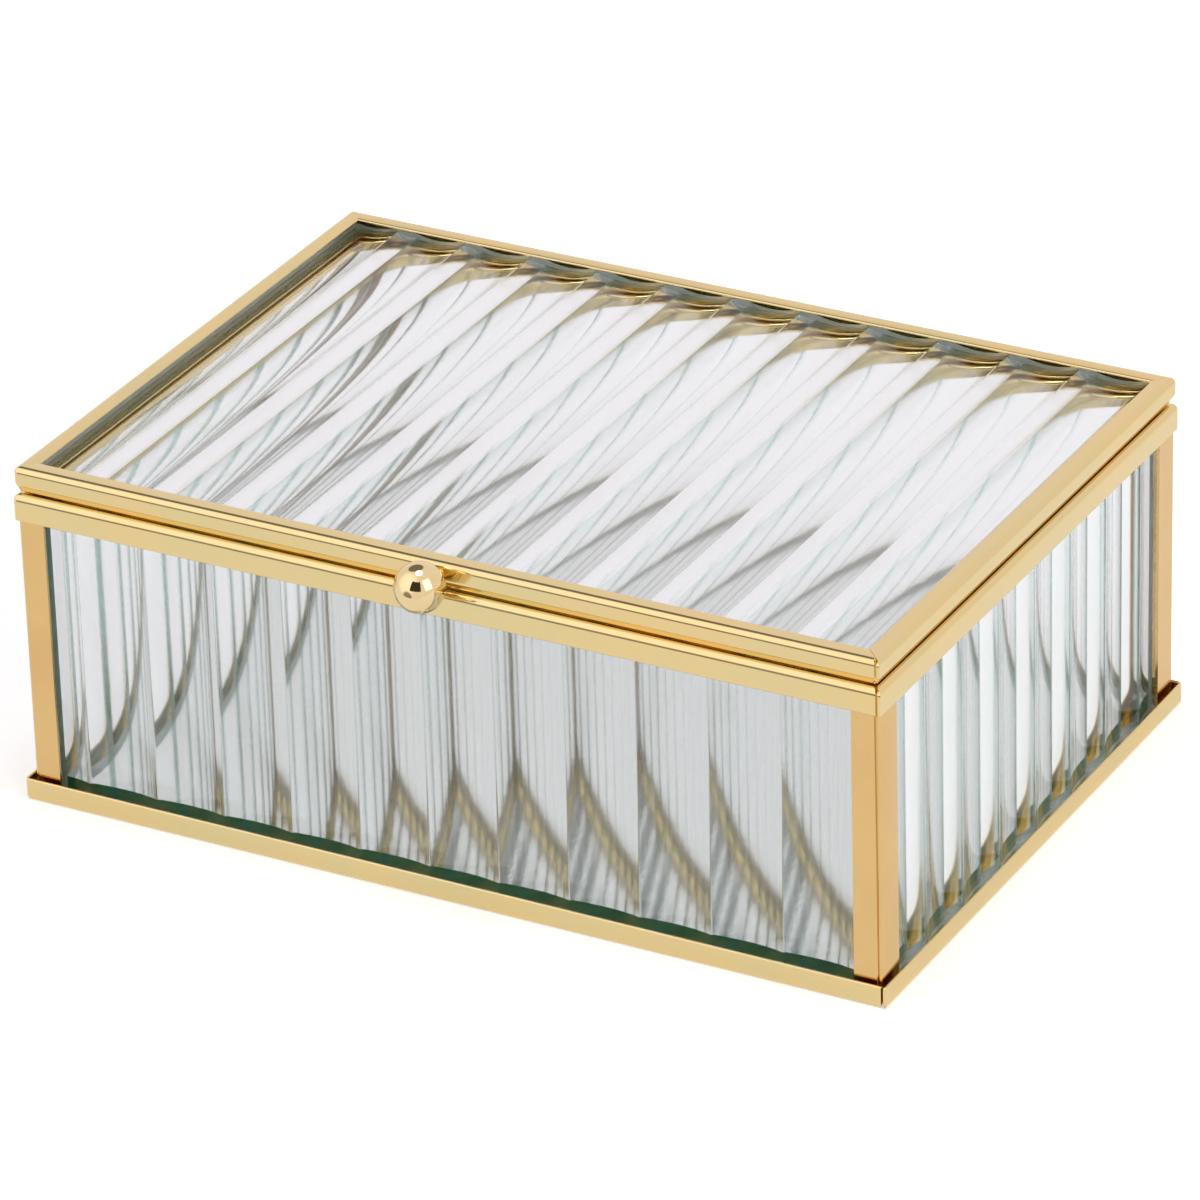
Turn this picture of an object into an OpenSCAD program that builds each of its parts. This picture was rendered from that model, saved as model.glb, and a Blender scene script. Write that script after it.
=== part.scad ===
// Glass casket box: a small keepsake box of fluted glass panes held in folded brass strip,
// with a mirror floor, a glass lid on two small hinges and a ball knob.
// Millimetres. +Z is up, the front faces -Y, and the origin is the centre of the underside.

/* [Box] */
// Width over the rim
body_w = 160; // [120:1:220]
// Depth over the rim
body_d = 113; // [90:1:180]
// Height from the table to the top of the lid
body_h = 62.2; // [45:0.1:100]
// Thickness of the brass sheet
sheet = 0.5; // [0.4:0.05:0.8]
// Outer radius of the folds at the upright edges
fold_r = 0.8; // [0.8:0.05:1.2]
// Gap of the open seam at the front right corner of each strip
seam_gap = 0.4; // [0.1:0.05:0.6]

/* [Foot] */
// Height of the foot strip
foot_h = 4; // [3.6:0.1:8]
// How far the foot strip stands out past the rim on each side
foot_out = 0.8; // [0.5:0.1:2]
// Width of the foot's flange that carries the mirror and the panes
foot_flange = 9; // [7.5:0.5:14]
// Thickness of the mirror floor
mirror_t = 3; // [2:0.1:3]

/* [Posts] */
// Width of each corner post seen from the front or the back
post_front_w = 5; // [3:0.1:10]
// Width of each corner post seen from the side
post_side_w = 6.2; // [3:0.1:10]

/* [Rim] */
// Height of the rim strip
rim_h = 4.8; // [4:0.1:9]
// Depth of the rim's inner lip below its top plate
rim_lip = 2.5; // [1:0.1:3]
// Gap between the rim and the closed lid
lid_gap = 0.3; // [0.2:0.05:0.6]

/* [Glass] */
// Thickness of the side panes at their ridges
glass_t = 3.6; // [3:0.1:4.5]
// Depth of the flutes
flute_depth = 1.4; // [0.8:0.1:1.6]
// Width of the flat land left on each ridge
ridge_land = 0.3; // [0.2:0.05:0.8]
// Ridge spacing on the front and back panes
front_pitch = 13.03; // [9:0.01:18]
// Ridge spacing on the left and right panes
side_pitch = 13.7; // [9:0.01:18]
// Ridge spacing on the lid glass
lid_pitch = 13.14; // [9:0.01:18]
// X of one ridge on the front and back panes
front_ridge_x = -3.5; // [-6:0.1:6]
// Y of one ridge on the left and right panes
side_ridge_y = 2.5; // [-6:0.1:6]
// X of one ridge on the lid glass
lid_ridge_x = -2.5; // [-6:0.1:6]

/* [Lid] */
// Height of the lid's strip
lid_h = 4.6; // [4.2:0.1:7]
// How far the lid stands inside the rim on each side
lid_inset = 0.3; // [0:0.05:1]
// How far the lid strip's face bulges
lid_bulge = 0.5; // [0.3:0.05:0.8]
// Width of the lid's top lip
lid_top_lip = 2.8; // [1.5:0.1:4]
// Width of the lid's bottom lip
lid_bottom_lip = 3.4; // [2.5:0.1:5]

/* [Knob] */
// Diameter of the knob's ball
knob_d = 8.6; // [6:0.1:14]
// Diameter of the knob's neck
neck_d = 3; // [2.6:0.1:4]
// Length of the knob's neck
neck_l = 0.8; // [0.5:0.1:3]
// Diameter of the knob's stem
stem_d = 2; // [1.5:0.1:2.4]

/* [Hinges] */
// Distance of each hinge from the middle of the box
hinge_x = 45; // [20:1:50]
// Width of each hinge
hinge_w = 12; // [9:0.5:20]
// Width of the middle knuckle
knuckle_w = 4; // [3:0.5:6]
// Diameter of the knuckles
knuckle_d = 2.6; // [2.4:0.1:3]
// Diameter of the hinge pin
pin_d = 1.2; // [1:0.1:1.4]
// Angle at which the stop heel meets the body leaf
open_angle = 105; // [95:1:110]

/* [Hidden] */
$fn = 64;

brass = "#DEC791";
glass = [0.84, 0.90, 0.87, 0.5];
silver = "#C8CDCD";

// Clearances
glass_play = 0.1;       // between the glass and the brass around it
lid_glass_play = 0.3;   // between the lid glass and the lid strip's walls
lid_lip_play = 0.2;     // between the lid glass ridges and the top lip
stem_play = 0.05;       // radial, around the knob's stem
pin_play = 0.05;        // radial, around the hinge pin
knuckle_play = 0.1;     // between neighbouring knuckles
hinge_back_play = 0.3;  // between the knuckles and the rim's back face
stop_play = 0.02;       // left at the stop when the lid is fully open
over = 1;               // how far a cutter runs past the face that it cuts

// Heights
lid_z = body_h - lid_h;
rim_top = lid_z - lid_gap;
rim_z = rim_top - rim_h;
glass_top = rim_top - sheet;

// Half sizes, measured from the middle of the box
post_x = body_w / 2 - sheet;
post_y = body_d / 2 - sheet;
pane_x = post_x - sheet - glass_play;
pane_y = post_y - sheet - glass_play;
floor_x = pane_x - glass_t - glass_play;
floor_y = pane_y - glass_t - glass_play;
lip_x = floor_x - sheet;
lip_y = floor_y - sheet;

// Lid sizes
lid_w = body_w - 2 * lid_inset;
lid_d = body_d - 2 * lid_inset;
lid_wall = lid_bulge + sheet;
lid_mid = lid_z + lid_h / 2;
lid_glass_z = lid_z + sheet;
lid_glass_t = lid_h - 2 * sheet - lid_lip_play;

// Hinge sizes
knuckle_r = knuckle_d / 2;
hinge_y = body_d / 2 + knuckle_r + hinge_back_play;
hinge_z = rim_top + lid_gap / 2;
seat_y = lid_d / 2 - lid_bulge / 2;
end_knuckle_w = (hinge_w - knuckle_w) / 2 - knuckle_play;
heel_reach = knuckle_r + 0.75;
heel_contact = 0.6;
body_leaf_low = rim_z + 0.4;
lid_leaf_high = body_h - 0.7;
pin_l = hinge_w + 0.6;

// Radius of the arc that is this deep over this chord
function arc_r(chord, depth) = (chord * chord / 4 + depth * depth) / (2 * depth);

// A rectangle round the origin with rounded corners
module rounded_plate(w, d, r) {
    square([w - 2 * r, d], center = true);
    square([w, d - 2 * r], center = true);
    for (sx = [-1, 1], sy = [-1, 1])
        translate([sx * (w / 2 - r), sy * (d / 2 - r)]) circle(r);
}

// An upright wall of sheet folded round a rectangle
module folded_wall(w, d, z, h) {
    translate([0, 0, z]) linear_extrude(h) difference() {
        rounded_plate(w, d, fold_r);
        rounded_plate(w - 2 * sheet, d - 2 * sheet, fold_r - sheet);
    }
}

// A flat plate of sheet round a rectangular window with mitred corners
module mitred_plate(w, d, r, window_w, window_d, z) {
    translate([0, 0, z]) linear_extrude(sheet) difference() {
        rounded_plate(w, d, r);
        square([window_w, window_d], center = true);
    }
}

// The open seam at the front right corner: the front wall ends at the side wall, the lips are mitred
module corner_seam(w, d, wall, reach, z, h) {
    translate([w / 2 - wall - seam_gap, -d / 2 - over, z - over])
        cube([seam_gap, wall + over, h + 2 * over]);
    translate([w / 2 - wall, -d / 2 + wall, z - over]) rotate(135)
        translate([0, -seam_gap / 2, 0]) cube([reach * sqrt(2) + over, seam_gap, h + 2 * over]);
}

// Outline of a fluted glass plate: flat inner face on y = 0, ridges at y = t, from x = -half to half
module fluted_2d(half, t, pitch, ridge) {
    r = arc_r(pitch - ridge_land, flute_depth);
    first = floor((-half - ridge) / pitch);
    last = floor((half - ridge) / pitch);
    difference() {
        translate([-half, 0]) square([2 * half, t]);
        for (k = [first:last])
            translate([ridge + (k + 0.5) * pitch, t + r - flute_depth]) circle(r);
    }
}

// An upright fluted pane with its inner face on y = 0 and its flutes facing +Y
module pane(half, pitch, ridge) {
    translate([0, 0, sheet]) linear_extrude(glass_top - sheet)
        fluted_2d(half, glass_t, pitch, ridge);
}

// Outline of a folded angle: the corner at the origin, legs a along x and b along y
module angle_2d(a, b) {
    translate([fold_r, 0]) square([a - fold_r, sheet]);
    translate([0, fold_r]) square([sheet, b - fold_r]);
    difference() {
        intersection() {
            translate([fold_r, fold_r]) circle(fold_r);
            square([fold_r, fold_r]);
        }
        translate([fold_r, fold_r]) circle(fold_r - sheet);
    }
}

// A corner post: sx and sy say which corner it stands at
module post(sx, sy) {
    color(brass) scale([sx, sy, 1]) translate([post_x, post_y, sheet]) rotate(180)
        linear_extrude(glass_top - sheet) angle_2d(post_front_w, post_side_w);
}

// Outline of the lid strip's outside seen along one side: straight top and bottom, bulging ends
module bulged_2d(w) {
    r = arc_r(lid_h, lid_bulge);
    translate([-w / 2 + lid_bulge, 0]) square([w - 2 * lid_bulge, lid_h]);
    intersection() {
        translate([-w / 2, 0]) square([w, lid_h]);
        for (s = [-1, 1]) translate([s * (w / 2 - r), lid_h / 2]) circle(r);
    }
}

module base_mirror() {
    color(silver) translate([-floor_x, -floor_y, sheet]) cube([2 * floor_x, 2 * floor_y, mirror_t]);
}

module foot_frame() {
    w = body_w + 2 * foot_out;
    d = body_d + 2 * foot_out;
    color(brass) difference() {
        union() {
            folded_wall(w, d, 0, foot_h);
            mitred_plate(w, d, fold_r, w - 2 * foot_flange, d - 2 * foot_flange, 0);
        }
        corner_seam(w, d, sheet, foot_flange, 0, foot_h);
    }
}

module pane_front() {
    color(glass) translate([0, -pane_y + glass_t, 0]) mirror([0, 1, 0])
        pane(pane_x, front_pitch, front_ridge_x);
}

module pane_back() {
    color(glass) translate([0, pane_y - glass_t, 0]) pane(pane_x, front_pitch, front_ridge_x);
}

module pane_right() {
    color(glass) translate([pane_x - glass_t, 0, 0]) rotate(-90) pane(floor_y, side_pitch, -side_ridge_y);
}

module pane_left() {
    color(glass) translate([-pane_x + glass_t, 0, 0]) rotate(90) pane(floor_y, side_pitch, side_ridge_y);
}

module post_front_left() { post(-1, -1); }

module post_front_right() { post(1, -1); }

module post_back_left() { post(-1, 1); }

module post_back_right() { post(1, 1); }

module rim_frame() {
    color(brass) difference() {
        union() {
            folded_wall(body_w, body_d, rim_z, rim_h);
            mitred_plate(body_w, body_d, fold_r, 2 * lip_x, 2 * lip_y, glass_top);
            translate([0, 0, glass_top - rim_lip]) linear_extrude(rim_lip) difference() {
                square([2 * floor_x, 2 * floor_y], center = true);
                square([2 * lip_x, 2 * lip_y], center = true);
            }
        }
        corner_seam(body_w, body_d, sheet, body_w / 2 - lip_x, rim_z, rim_h);
    }
}

module lid_frame() {
    cavity_w = lid_w - 2 * lid_wall;
    cavity_d = lid_d - 2 * lid_wall;
    color(brass) difference() {
        translate([0, 0, lid_z]) intersection() {
            rotate([90, 0, 0]) linear_extrude(lid_d, center = true) bulged_2d(lid_w);
            rotate([90, 0, 90]) linear_extrude(lid_w, center = true) bulged_2d(lid_d);
        }
        translate([-cavity_w / 2, -cavity_d / 2, lid_glass_z])
            cube([cavity_w, cavity_d, lid_h - 2 * sheet]);
        translate([-cavity_w / 2 + lid_bottom_lip - sheet, -cavity_d / 2 + lid_bottom_lip - sheet, lid_z - over])
            cube([cavity_w - 2 * (lid_bottom_lip - sheet), cavity_d - 2 * (lid_bottom_lip - sheet), lid_h]);
        translate([-cavity_w / 2 + lid_top_lip - sheet, -cavity_d / 2 + lid_top_lip - sheet, lid_mid])
            cube([cavity_w - 2 * (lid_top_lip - sheet), cavity_d - 2 * (lid_top_lip - sheet), lid_h]);
        corner_seam(lid_w, lid_d, lid_wall, lid_bottom_lip + lid_wall, lid_z, lid_h);
        translate([0, 0, lid_mid]) rotate([90, 0, 0]) cylinder(d = stem_d + 2 * stem_play, h = lid_d);
        for (s = [-1, 1])
            translate([s * hinge_x - hinge_w / 2 - glass_play, seat_y, lid_z - over])
                cube([hinge_w + 2 * glass_play, lid_bulge, lid_h + 2 * over]);
    }
}

module lid_glass() {
    half_x = lid_w / 2 - lid_wall - lid_glass_play;
    half_y = lid_d / 2 - lid_wall - lid_glass_play;
    color(glass) translate([0, half_y, lid_glass_z]) rotate([90, 0, 0])
        linear_extrude(2 * half_y) fluted_2d(half_x, lid_glass_t, lid_pitch, lid_ridge_x);
}

module lid_knob() {
    ball_r = knob_d / 2;
    ball_out = neck_l + sqrt(ball_r * ball_r - neck_d * neck_d / 4);
    color(brass) translate([0, -lid_d / 2, lid_mid]) rotate([90, 0, 0]) {
        translate([0, 0, ball_out]) sphere(d = knob_d);
        cylinder(d = neck_d, h = ball_out);
        translate([0, 0, -lid_wall]) cylinder(d = stem_d, h = lid_wall + ball_out);
    }
}

// A knuckle along X with a bore for the pin
module knuckle(x, w) {
    translate([x, hinge_y, hinge_z]) rotate([0, 90, 0]) cylinder(d = knuckle_d, h = w);
}

module pin_bore() {
    translate([-hinge_w, hinge_y, hinge_z]) rotate([0, 90, 0])
        cylinder(d = pin_d + 2 * pin_play, h = 2 * hinge_w);
}

// The leaf soldered to the back of the rim, with the two end knuckles
module body_leaf() {
    back = body_d / 2;
    plate_top = hinge_z - heel_reach + heel_contact;
    difference() {
        union() {
            translate([-hinge_w / 2, back, body_leaf_low]) cube([hinge_w, sheet, plate_top - body_leaf_low]);
            for (x = [-hinge_w / 2, hinge_w / 2 - end_knuckle_w]) {
                translate([x, back, body_leaf_low]) cube([end_knuckle_w, sheet, hinge_z - body_leaf_low]);
                translate([x, back, hinge_z - knuckle_r]) cube([end_knuckle_w, hinge_y - back, knuckle_r]);
                knuckle(x, end_knuckle_w);
            }
        }
        pin_bore();
    }
}

// The leaf soldered to the back of the lid, with the middle knuckle and its stop heel
module lid_leaf() {
    low = lid_z + 0.1;
    difference() {
        union() {
            translate([-hinge_w / 2, seat_y, low]) cube([hinge_w, sheet, lid_leaf_high - low]);
            translate([-knuckle_w / 2, seat_y, low]) cube([knuckle_w, hinge_y - seat_y, knuckle_r - 0.2]);
            knuckle(-knuckle_w / 2, knuckle_w);
            translate([0, hinge_y, hinge_z]) rotate([open_angle, 0, 0])
                translate([-knuckle_w / 2, body_d / 2 + sheet + stop_play - hinge_y, -heel_reach])
                    cube([knuckle_w, hinge_y - body_d / 2 - sheet - stop_play, heel_reach]);
        }
        pin_bore();
    }
}

module hinge_pin() {
    translate([-pin_l / 2, hinge_y, hinge_z]) rotate([0, 90, 0]) cylinder(d = pin_d, h = pin_l);
}

module hinge_body_leaf_left() { color(brass) translate([-hinge_x, 0, 0]) body_leaf(); }

module hinge_body_leaf_right() { color(brass) translate([hinge_x, 0, 0]) body_leaf(); }

module hinge_lid_leaf_left() { color(brass) translate([-hinge_x, 0, 0]) lid_leaf(); }

module hinge_lid_leaf_right() { color(brass) translate([hinge_x, 0, 0]) lid_leaf(); }

module hinge_pin_left() { color(brass) translate([-hinge_x, 0, 0]) hinge_pin(); }

module hinge_pin_right() { color(brass) translate([hinge_x, 0, 0]) hinge_pin(); }

base_mirror();
foot_frame();
pane_front();
pane_back();
pane_left();
pane_right();
post_front_left();
post_front_right();
post_back_left();
post_back_right();
rim_frame();
lid_frame();
lid_glass();
lid_knob();
hinge_body_leaf_left();
hinge_body_leaf_right();
hinge_lid_leaf_left();
hinge_lid_leaf_right();
hinge_pin_left();
hinge_pin_right();
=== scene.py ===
# %% [markdown]
# # A fluted glass casket box
# The box is five fluted glass plates held in folded brass strip, on a mirror floor.
# This script loads the measured model as a fixed frame and dresses it: every strip gets its
# folds, every pane its smooth flutes, and every surface the finish of the real material.

# %% Load the frame
import math

import bmesh
import bpy
from mathutils import Matrix, Vector


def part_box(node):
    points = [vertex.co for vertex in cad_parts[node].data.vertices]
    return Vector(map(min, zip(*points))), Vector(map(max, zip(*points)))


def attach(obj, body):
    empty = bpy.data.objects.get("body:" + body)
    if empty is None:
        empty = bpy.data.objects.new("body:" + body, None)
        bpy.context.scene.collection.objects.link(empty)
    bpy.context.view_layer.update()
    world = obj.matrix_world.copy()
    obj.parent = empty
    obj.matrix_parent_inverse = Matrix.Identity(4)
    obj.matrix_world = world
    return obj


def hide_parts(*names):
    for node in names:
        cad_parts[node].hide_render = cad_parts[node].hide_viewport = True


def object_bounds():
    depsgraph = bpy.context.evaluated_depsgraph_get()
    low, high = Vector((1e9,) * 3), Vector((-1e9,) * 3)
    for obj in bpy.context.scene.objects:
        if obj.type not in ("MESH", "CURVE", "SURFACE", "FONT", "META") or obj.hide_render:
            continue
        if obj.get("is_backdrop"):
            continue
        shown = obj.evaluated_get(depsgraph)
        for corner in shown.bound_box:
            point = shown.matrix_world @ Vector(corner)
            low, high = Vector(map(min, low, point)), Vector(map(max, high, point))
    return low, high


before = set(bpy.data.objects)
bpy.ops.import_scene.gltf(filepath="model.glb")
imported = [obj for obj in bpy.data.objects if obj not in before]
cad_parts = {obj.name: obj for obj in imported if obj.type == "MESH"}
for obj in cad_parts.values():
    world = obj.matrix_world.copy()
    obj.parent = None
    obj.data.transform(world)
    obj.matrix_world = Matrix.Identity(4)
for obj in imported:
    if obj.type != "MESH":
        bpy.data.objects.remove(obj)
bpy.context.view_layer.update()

MM = 0.001

# %% [markdown]
# ## Camera
# The photograph was taken with a long lens from the front right and a little above.
# The angles come from the box's own corners: their places in the photograph fix the direction,
# the distance and the small tilt of the camera. The focal length is for a 36 mm sensor.

# %% Camera
VIEW_AZIMUTH = math.radians(28.95)
VIEW_ELEVATION = math.radians(27.55)
VIEW_ROLL = math.radians(-1.69)
CAMERA_PLACE = Vector((552.3, -999.9, 624.7)) * MM
LENS_MM = 229.86


def camera_matrix(azimuth, elevation, roll, place):
    """A camera that looks along the azimuth and down by the elevation, then rolls."""
    forward = Vector((-math.sin(azimuth) * math.cos(elevation),
                      math.cos(azimuth) * math.cos(elevation), -math.sin(elevation)))
    level = Vector((math.cos(azimuth), math.sin(azimuth), 0))
    up = level.cross(forward)
    right = level * math.cos(roll) + up * math.sin(roll)
    up = up * math.cos(roll) - level * math.sin(roll)
    return Matrix.Translation(place) @ Matrix((right, up, -forward)).transposed().to_4x4()


camera = bpy.data.objects.new("camera", bpy.data.cameras.new("camera"))
camera.data.sensor_width = 36
camera.data.lens = LENS_MM
camera.data.clip_start = 0.01
camera.matrix_world = camera_matrix(VIEW_AZIMUTH, VIEW_ELEVATION, VIEW_ROLL, CAMERA_PLACE)
bpy.context.scene.collection.objects.link(camera)
bpy.context.scene.camera = camera
print("camera", LENS_MM, "mm lens,", round(CAMERA_PLACE.length, 2), "m away")

# %% [markdown]
# ## Sizes taken from the frame
# Every visual piece stands where its counterpart in the frame stands, so the sizes are read
# from the frame's boxes. Only what a box can't tell is given here: the sheet's thickness, the
# radius of the upright folds and of the bends along the strip, the open seam, and the lips.


# %% Sizes in millimetres
def box_mm(node):
    """The lowest and highest corner of a frame node, in millimetres."""
    low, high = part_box(node)
    return low / MM, high / MM


FOOT_LOW, FOOT_HIGH = box_mm("foot_frame")
RIM_LOW, RIM_HIGH = box_mm("rim_frame")
LID_LOW, LID_HIGH = box_mm("lid_frame")
POST_LOW, POST_HIGH = box_mm("post_back_right")
MIRROR_LOW, MIRROR_HIGH = box_mm("base_mirror")
LID_GLASS_LOW, LID_GLASS_HIGH = box_mm("lid_glass")
SHEET = 0.5
FOLD = 0.8
BEND = 0.7
RIM_BEND = 1.2
SEAM = 0.4
FOOT_FLANGE = 9.0
RIM_DEPTH = 5.3
RIM_LIP = 2.5
LID_TOP_LIP = 3.3
LID_BOTTOM_LIP = 3.9
print("lid glass", round(LID_HIGH.x - LID_GLASS_HIGH.x, 2), "mm in from the lid strip's face")
print("rim", [round(size, 1) for size in RIM_HIGH - RIM_LOW], "mm")

# %% [markdown]
# ## Colours and nodes
# Colours are written as the hex values that a paint chart uses, and one function turns them
# to the linear values that the renderer works in. One more function adds a shader node.


# %% Helpers for materials
def colour(code):
    """A linear RGBA colour from an sRGB hex code."""
    channels = [int(code[i:i + 2], 16) / 255 for i in (1, 3, 5)]
    linear = [c / 12.92 if c <= 0.04045 else ((c + 0.055) / 1.055) ** 2.4 for c in channels]
    return (*linear, 1.0)


def add_node(tree, kind, settings=None, links=None):
    """Add a node, set its properties or sockets, and link other nodes' outputs to its sockets."""
    node = tree.nodes.new(kind)
    for name, value in (settings or {}).items():
        if isinstance(name, int) or name in node.inputs:
            node.inputs[name].default_value = value
        else:
            setattr(node, name, value)
    for name, output in (links or {}).items():
        tree.links.new(output, node.inputs[name])
    return node


def new_material(name, settings):
    """A material with a Principled shader, returned with its tree and shader."""
    material = bpy.data.materials.new(name)
    material.use_nodes = True
    shader = material.node_tree.nodes["Principled BSDF"]
    for socket, value in settings.items():
        shader.inputs[socket].default_value = value
    return material, material.node_tree, shader


# %% [markdown]
# ## Polished brass strip
# The strip is cold-rolled brass, polished and lacquered. It mirrors the room softly, pale gold
# on the faces that see the light and deep yellow where it sees itself. A metal's base colour is
# its reflection, so the hex is a pale gold. The posts are of the same brass, but their colour is
# painted deeper: painted shade, for where they stand back between the rim and the foot. The
# turned pieces have a finer polish. Rolling leaves faint lines along the strip and handling
# leaves cloudy patches, so the roughness comes from a stretched noise and a broad one. Real
# rolling lines are finer than a tenth of a millimetre, and are drawn wider here so that they show.

# %% Brass
ROLLING_LINES_MM = 0.35
CLOUDS_MM = 18
WAVES_MM = 6
WAVE_HEIGHT_MM = 0.02
LINES_ALONG = 20
LINES_IN_SHINE = 0.5
LINES_IN_RELIEF = 0.04


def brass_material(name, pale, deep, roughness):
    """Rolled and polished brass. The strip's length runs along U, in metres."""
    material, tree, shader = new_material(name, {"Metallic": 1.0})
    uv = add_node(tree, "ShaderNodeUVMap", {"uv_map": "strip"})
    along = add_node(tree, "ShaderNodeMapping", {"Scale": (LINES_ALONG, 1 / (ROLLING_LINES_MM * MM), 1)},
                     {"Vector": uv.outputs["UV"]})
    lines = add_node(tree, "ShaderNodeTexNoise", {"Scale": 1.0, "Detail": 4.0}, {"Vector": along.outputs[0]})
    place = add_node(tree, "ShaderNodeTexCoord")
    clouds = add_node(tree, "ShaderNodeTexNoise", {"Scale": 1 / (CLOUDS_MM * MM), "Detail": 5.0},
                      {"Vector": place.outputs["Object"]})
    waves = add_node(tree, "ShaderNodeTexNoise", {"Scale": 1 / (WAVES_MM * MM), "Detail": 1.0},
                     {"Vector": place.outputs["Object"]})
    tone = add_node(tree, "ShaderNodeMapRange", {"From Min": 0.35, "From Max": 0.7},
                    {"Value": clouds.outputs["Fac"]})
    tint = add_node(tree, "ShaderNodeMix", {"data_type": "RGBA", 6: colour(pale), 7: colour(deep)},
                    {0: tone.outputs[0]})
    mixed = add_node(tree, "ShaderNodeMath", {"operation": "MULTIPLY_ADD", 1: LINES_IN_SHINE},
                     {0: lines.outputs["Fac"], 2: clouds.outputs["Fac"]})
    shine = add_node(tree, "ShaderNodeMapRange", {"From Min": 0.5, "From Max": 1.0,
                                                  "To Min": roughness * 0.75, "To Max": roughness * 1.3},
                     {"Value": mixed.outputs[0]})
    relief = add_node(tree, "ShaderNodeMath", {"operation": "MULTIPLY_ADD", 1: LINES_IN_RELIEF},
                      {0: lines.outputs["Fac"], 2: waves.outputs["Fac"]})
    bump = add_node(tree, "ShaderNodeBump", {"Strength": 0.35, "Distance": WAVE_HEIGHT_MM * MM},
                    {"Height": relief.outputs[0]})
    tree.links.new(tint.outputs[2], shader.inputs["Base Color"])
    tree.links.new(shine.outputs[0], shader.inputs["Roughness"])
    tree.links.new(bump.outputs[0], shader.inputs["Normal"])
    return material


BRASS = brass_material("polished_brass_strip", "#E4CB91", "#DCCC97", roughness=0.12)
# The posts' deeper colours are painted shade: the strips' brass, made darker where the posts stand back
# between the rim and the foot.
POST_BRASS_PAINTED_SHADE = brass_material("brass_angle_painted_shade", "#DEBB7E", "#D8B47A", roughness=0.14)
KNOB_BRASS = brass_material("turned_brass_ball", "#ECD8A8", "#E2CA94", roughness=0.08)
print("brass", BRASS.name, POST_BRASS_PAINTED_SHADE.name, KNOB_BRASS.name)

# %% [markdown]
# ## Fluted glass
# The panes are soda-lime glass, cast with hollow flutes on the outer side and flat inside.
# Such glass is clear face on, and green where light has travelled a long way inside it, so the
# green is an absorption inside the glass and not a colour on it. Casting leaves the surface a
# little wavy, and the roller draws fine lines along the flutes. One bump gives the waves and a
# second, stretched one the lines. The cut edges are ground, so they scatter light.
# The absorption node takes each light at its density times one minus its colour. So
# `GREEN_GLASS` is no colour to look at, and is written as plain shares and not as a hex.

# %% Glass
GLASS_IOR = 1.52
CASTING_WAVES_MM = 9
DRAW_LINES_MM = 1.4
DRAW_LINES_DEPTH_MM = 0.006
DRAW_LINES_ALONG = 8
GREEN = 9.0
GREEN_GLASS = (0.0, 0.80, 0.62, 1.0)


def glass_material(name, tint, roughness, wave_depth_mm, clear=1.0):
    """Soda-lime glass, with casting waves and fine lines that run along V."""
    material, tree, shader = new_material(name, {
        "Base Color": colour(tint), "Roughness": roughness, "IOR": GLASS_IOR, "Transmission Weight": clear})
    place = add_node(tree, "ShaderNodeTexCoord")
    waves = add_node(tree, "ShaderNodeTexNoise", {"Scale": 1 / (CASTING_WAVES_MM * MM), "Detail": 2.0},
                     {"Vector": place.outputs["Object"]})
    bump = add_node(tree, "ShaderNodeBump", {"Strength": 1.0, "Distance": wave_depth_mm * MM},
                    {"Height": waves.outputs["Fac"]})
    uv = add_node(tree, "ShaderNodeUVMap", {"uv_map": "strip"})
    along = add_node(tree, "ShaderNodeMapping", {"Scale": (1 / (DRAW_LINES_MM * MM), DRAW_LINES_ALONG, 1)},
                     {"Vector": uv.outputs["UV"]})
    lines = add_node(tree, "ShaderNodeTexNoise", {"Scale": 1.0, "Detail": 2.0}, {"Vector": along.outputs[0]})
    line_bump = add_node(tree, "ShaderNodeBump", {"Strength": 1.0, "Distance": DRAW_LINES_DEPTH_MM * MM},
                         {"Height": lines.outputs["Fac"], "Normal": bump.outputs[0]})
    tree.links.new(line_bump.outputs[0], shader.inputs["Normal"])
    absorb = add_node(tree, "ShaderNodeVolumeAbsorption", {"Color": GREEN_GLASS, "Density": GREEN})
    tree.links.new(absorb.outputs[0], tree.nodes["Material Output"].inputs["Volume"])
    return material


FLUTED_GLASS = glass_material("cast_fluted_glass", "#FAF9FB", roughness=0.08, wave_depth_mm=0.02)
GROUND_EDGE = glass_material("ground_glass_edge", "#DCEBE2", roughness=0.35, wave_depth_mm=0.02, clear=0.2)
FLOAT_GLASS = glass_material("float_glass_mirror_face", "#FCFDFC", roughness=0.0, wave_depth_mm=0.0)
FLOAT_EDGE = glass_material("cut_edge_of_the_mirror", "#4DB08A", roughness=0.25, wave_depth_mm=0.02,
                            clear=0.3)
print("glass", FLUTED_GLASS.name, "IOR", GLASS_IOR)

# %% [markdown]
# ## Mirror
# The floor is a second-surface mirror: glass on top, silver on its underside, and grey paint
# over the silver. Light goes down through the glass, so the silver face is metal with the
# glass in front of it, and the paint is a thin layer of its own below. Old silver has faint
# hazy spots, and brushed paint has a fine grain, so each gets a noise of its own.

# %% Silver and back paint
HAZE_MM = 25
PAINT_GRAIN_MM = 1.5
PAINT_RELIEF_MM = 0.05
SILVER, silver_tree, silver_shader = new_material("wet_silvered_back", {
    "Base Color": colour("#E6E7E5"), "Metallic": 1.0, "Roughness": 0.0})
silver_place = add_node(silver_tree, "ShaderNodeTexCoord")
silver_spots = add_node(silver_tree, "ShaderNodeTexNoise", {"Scale": 1 / (HAZE_MM * MM), "Detail": 3.0},
                        {"Vector": silver_place.outputs["Object"]})
silver_haze = add_node(silver_tree, "ShaderNodeMapRange", {"From Min": 0.6, "From Max": 0.9, "To Max": 0.02},
                       {"Value": silver_spots.outputs["Fac"]})
silver_tree.links.new(silver_haze.outputs[0], silver_shader.inputs["Roughness"])

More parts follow.
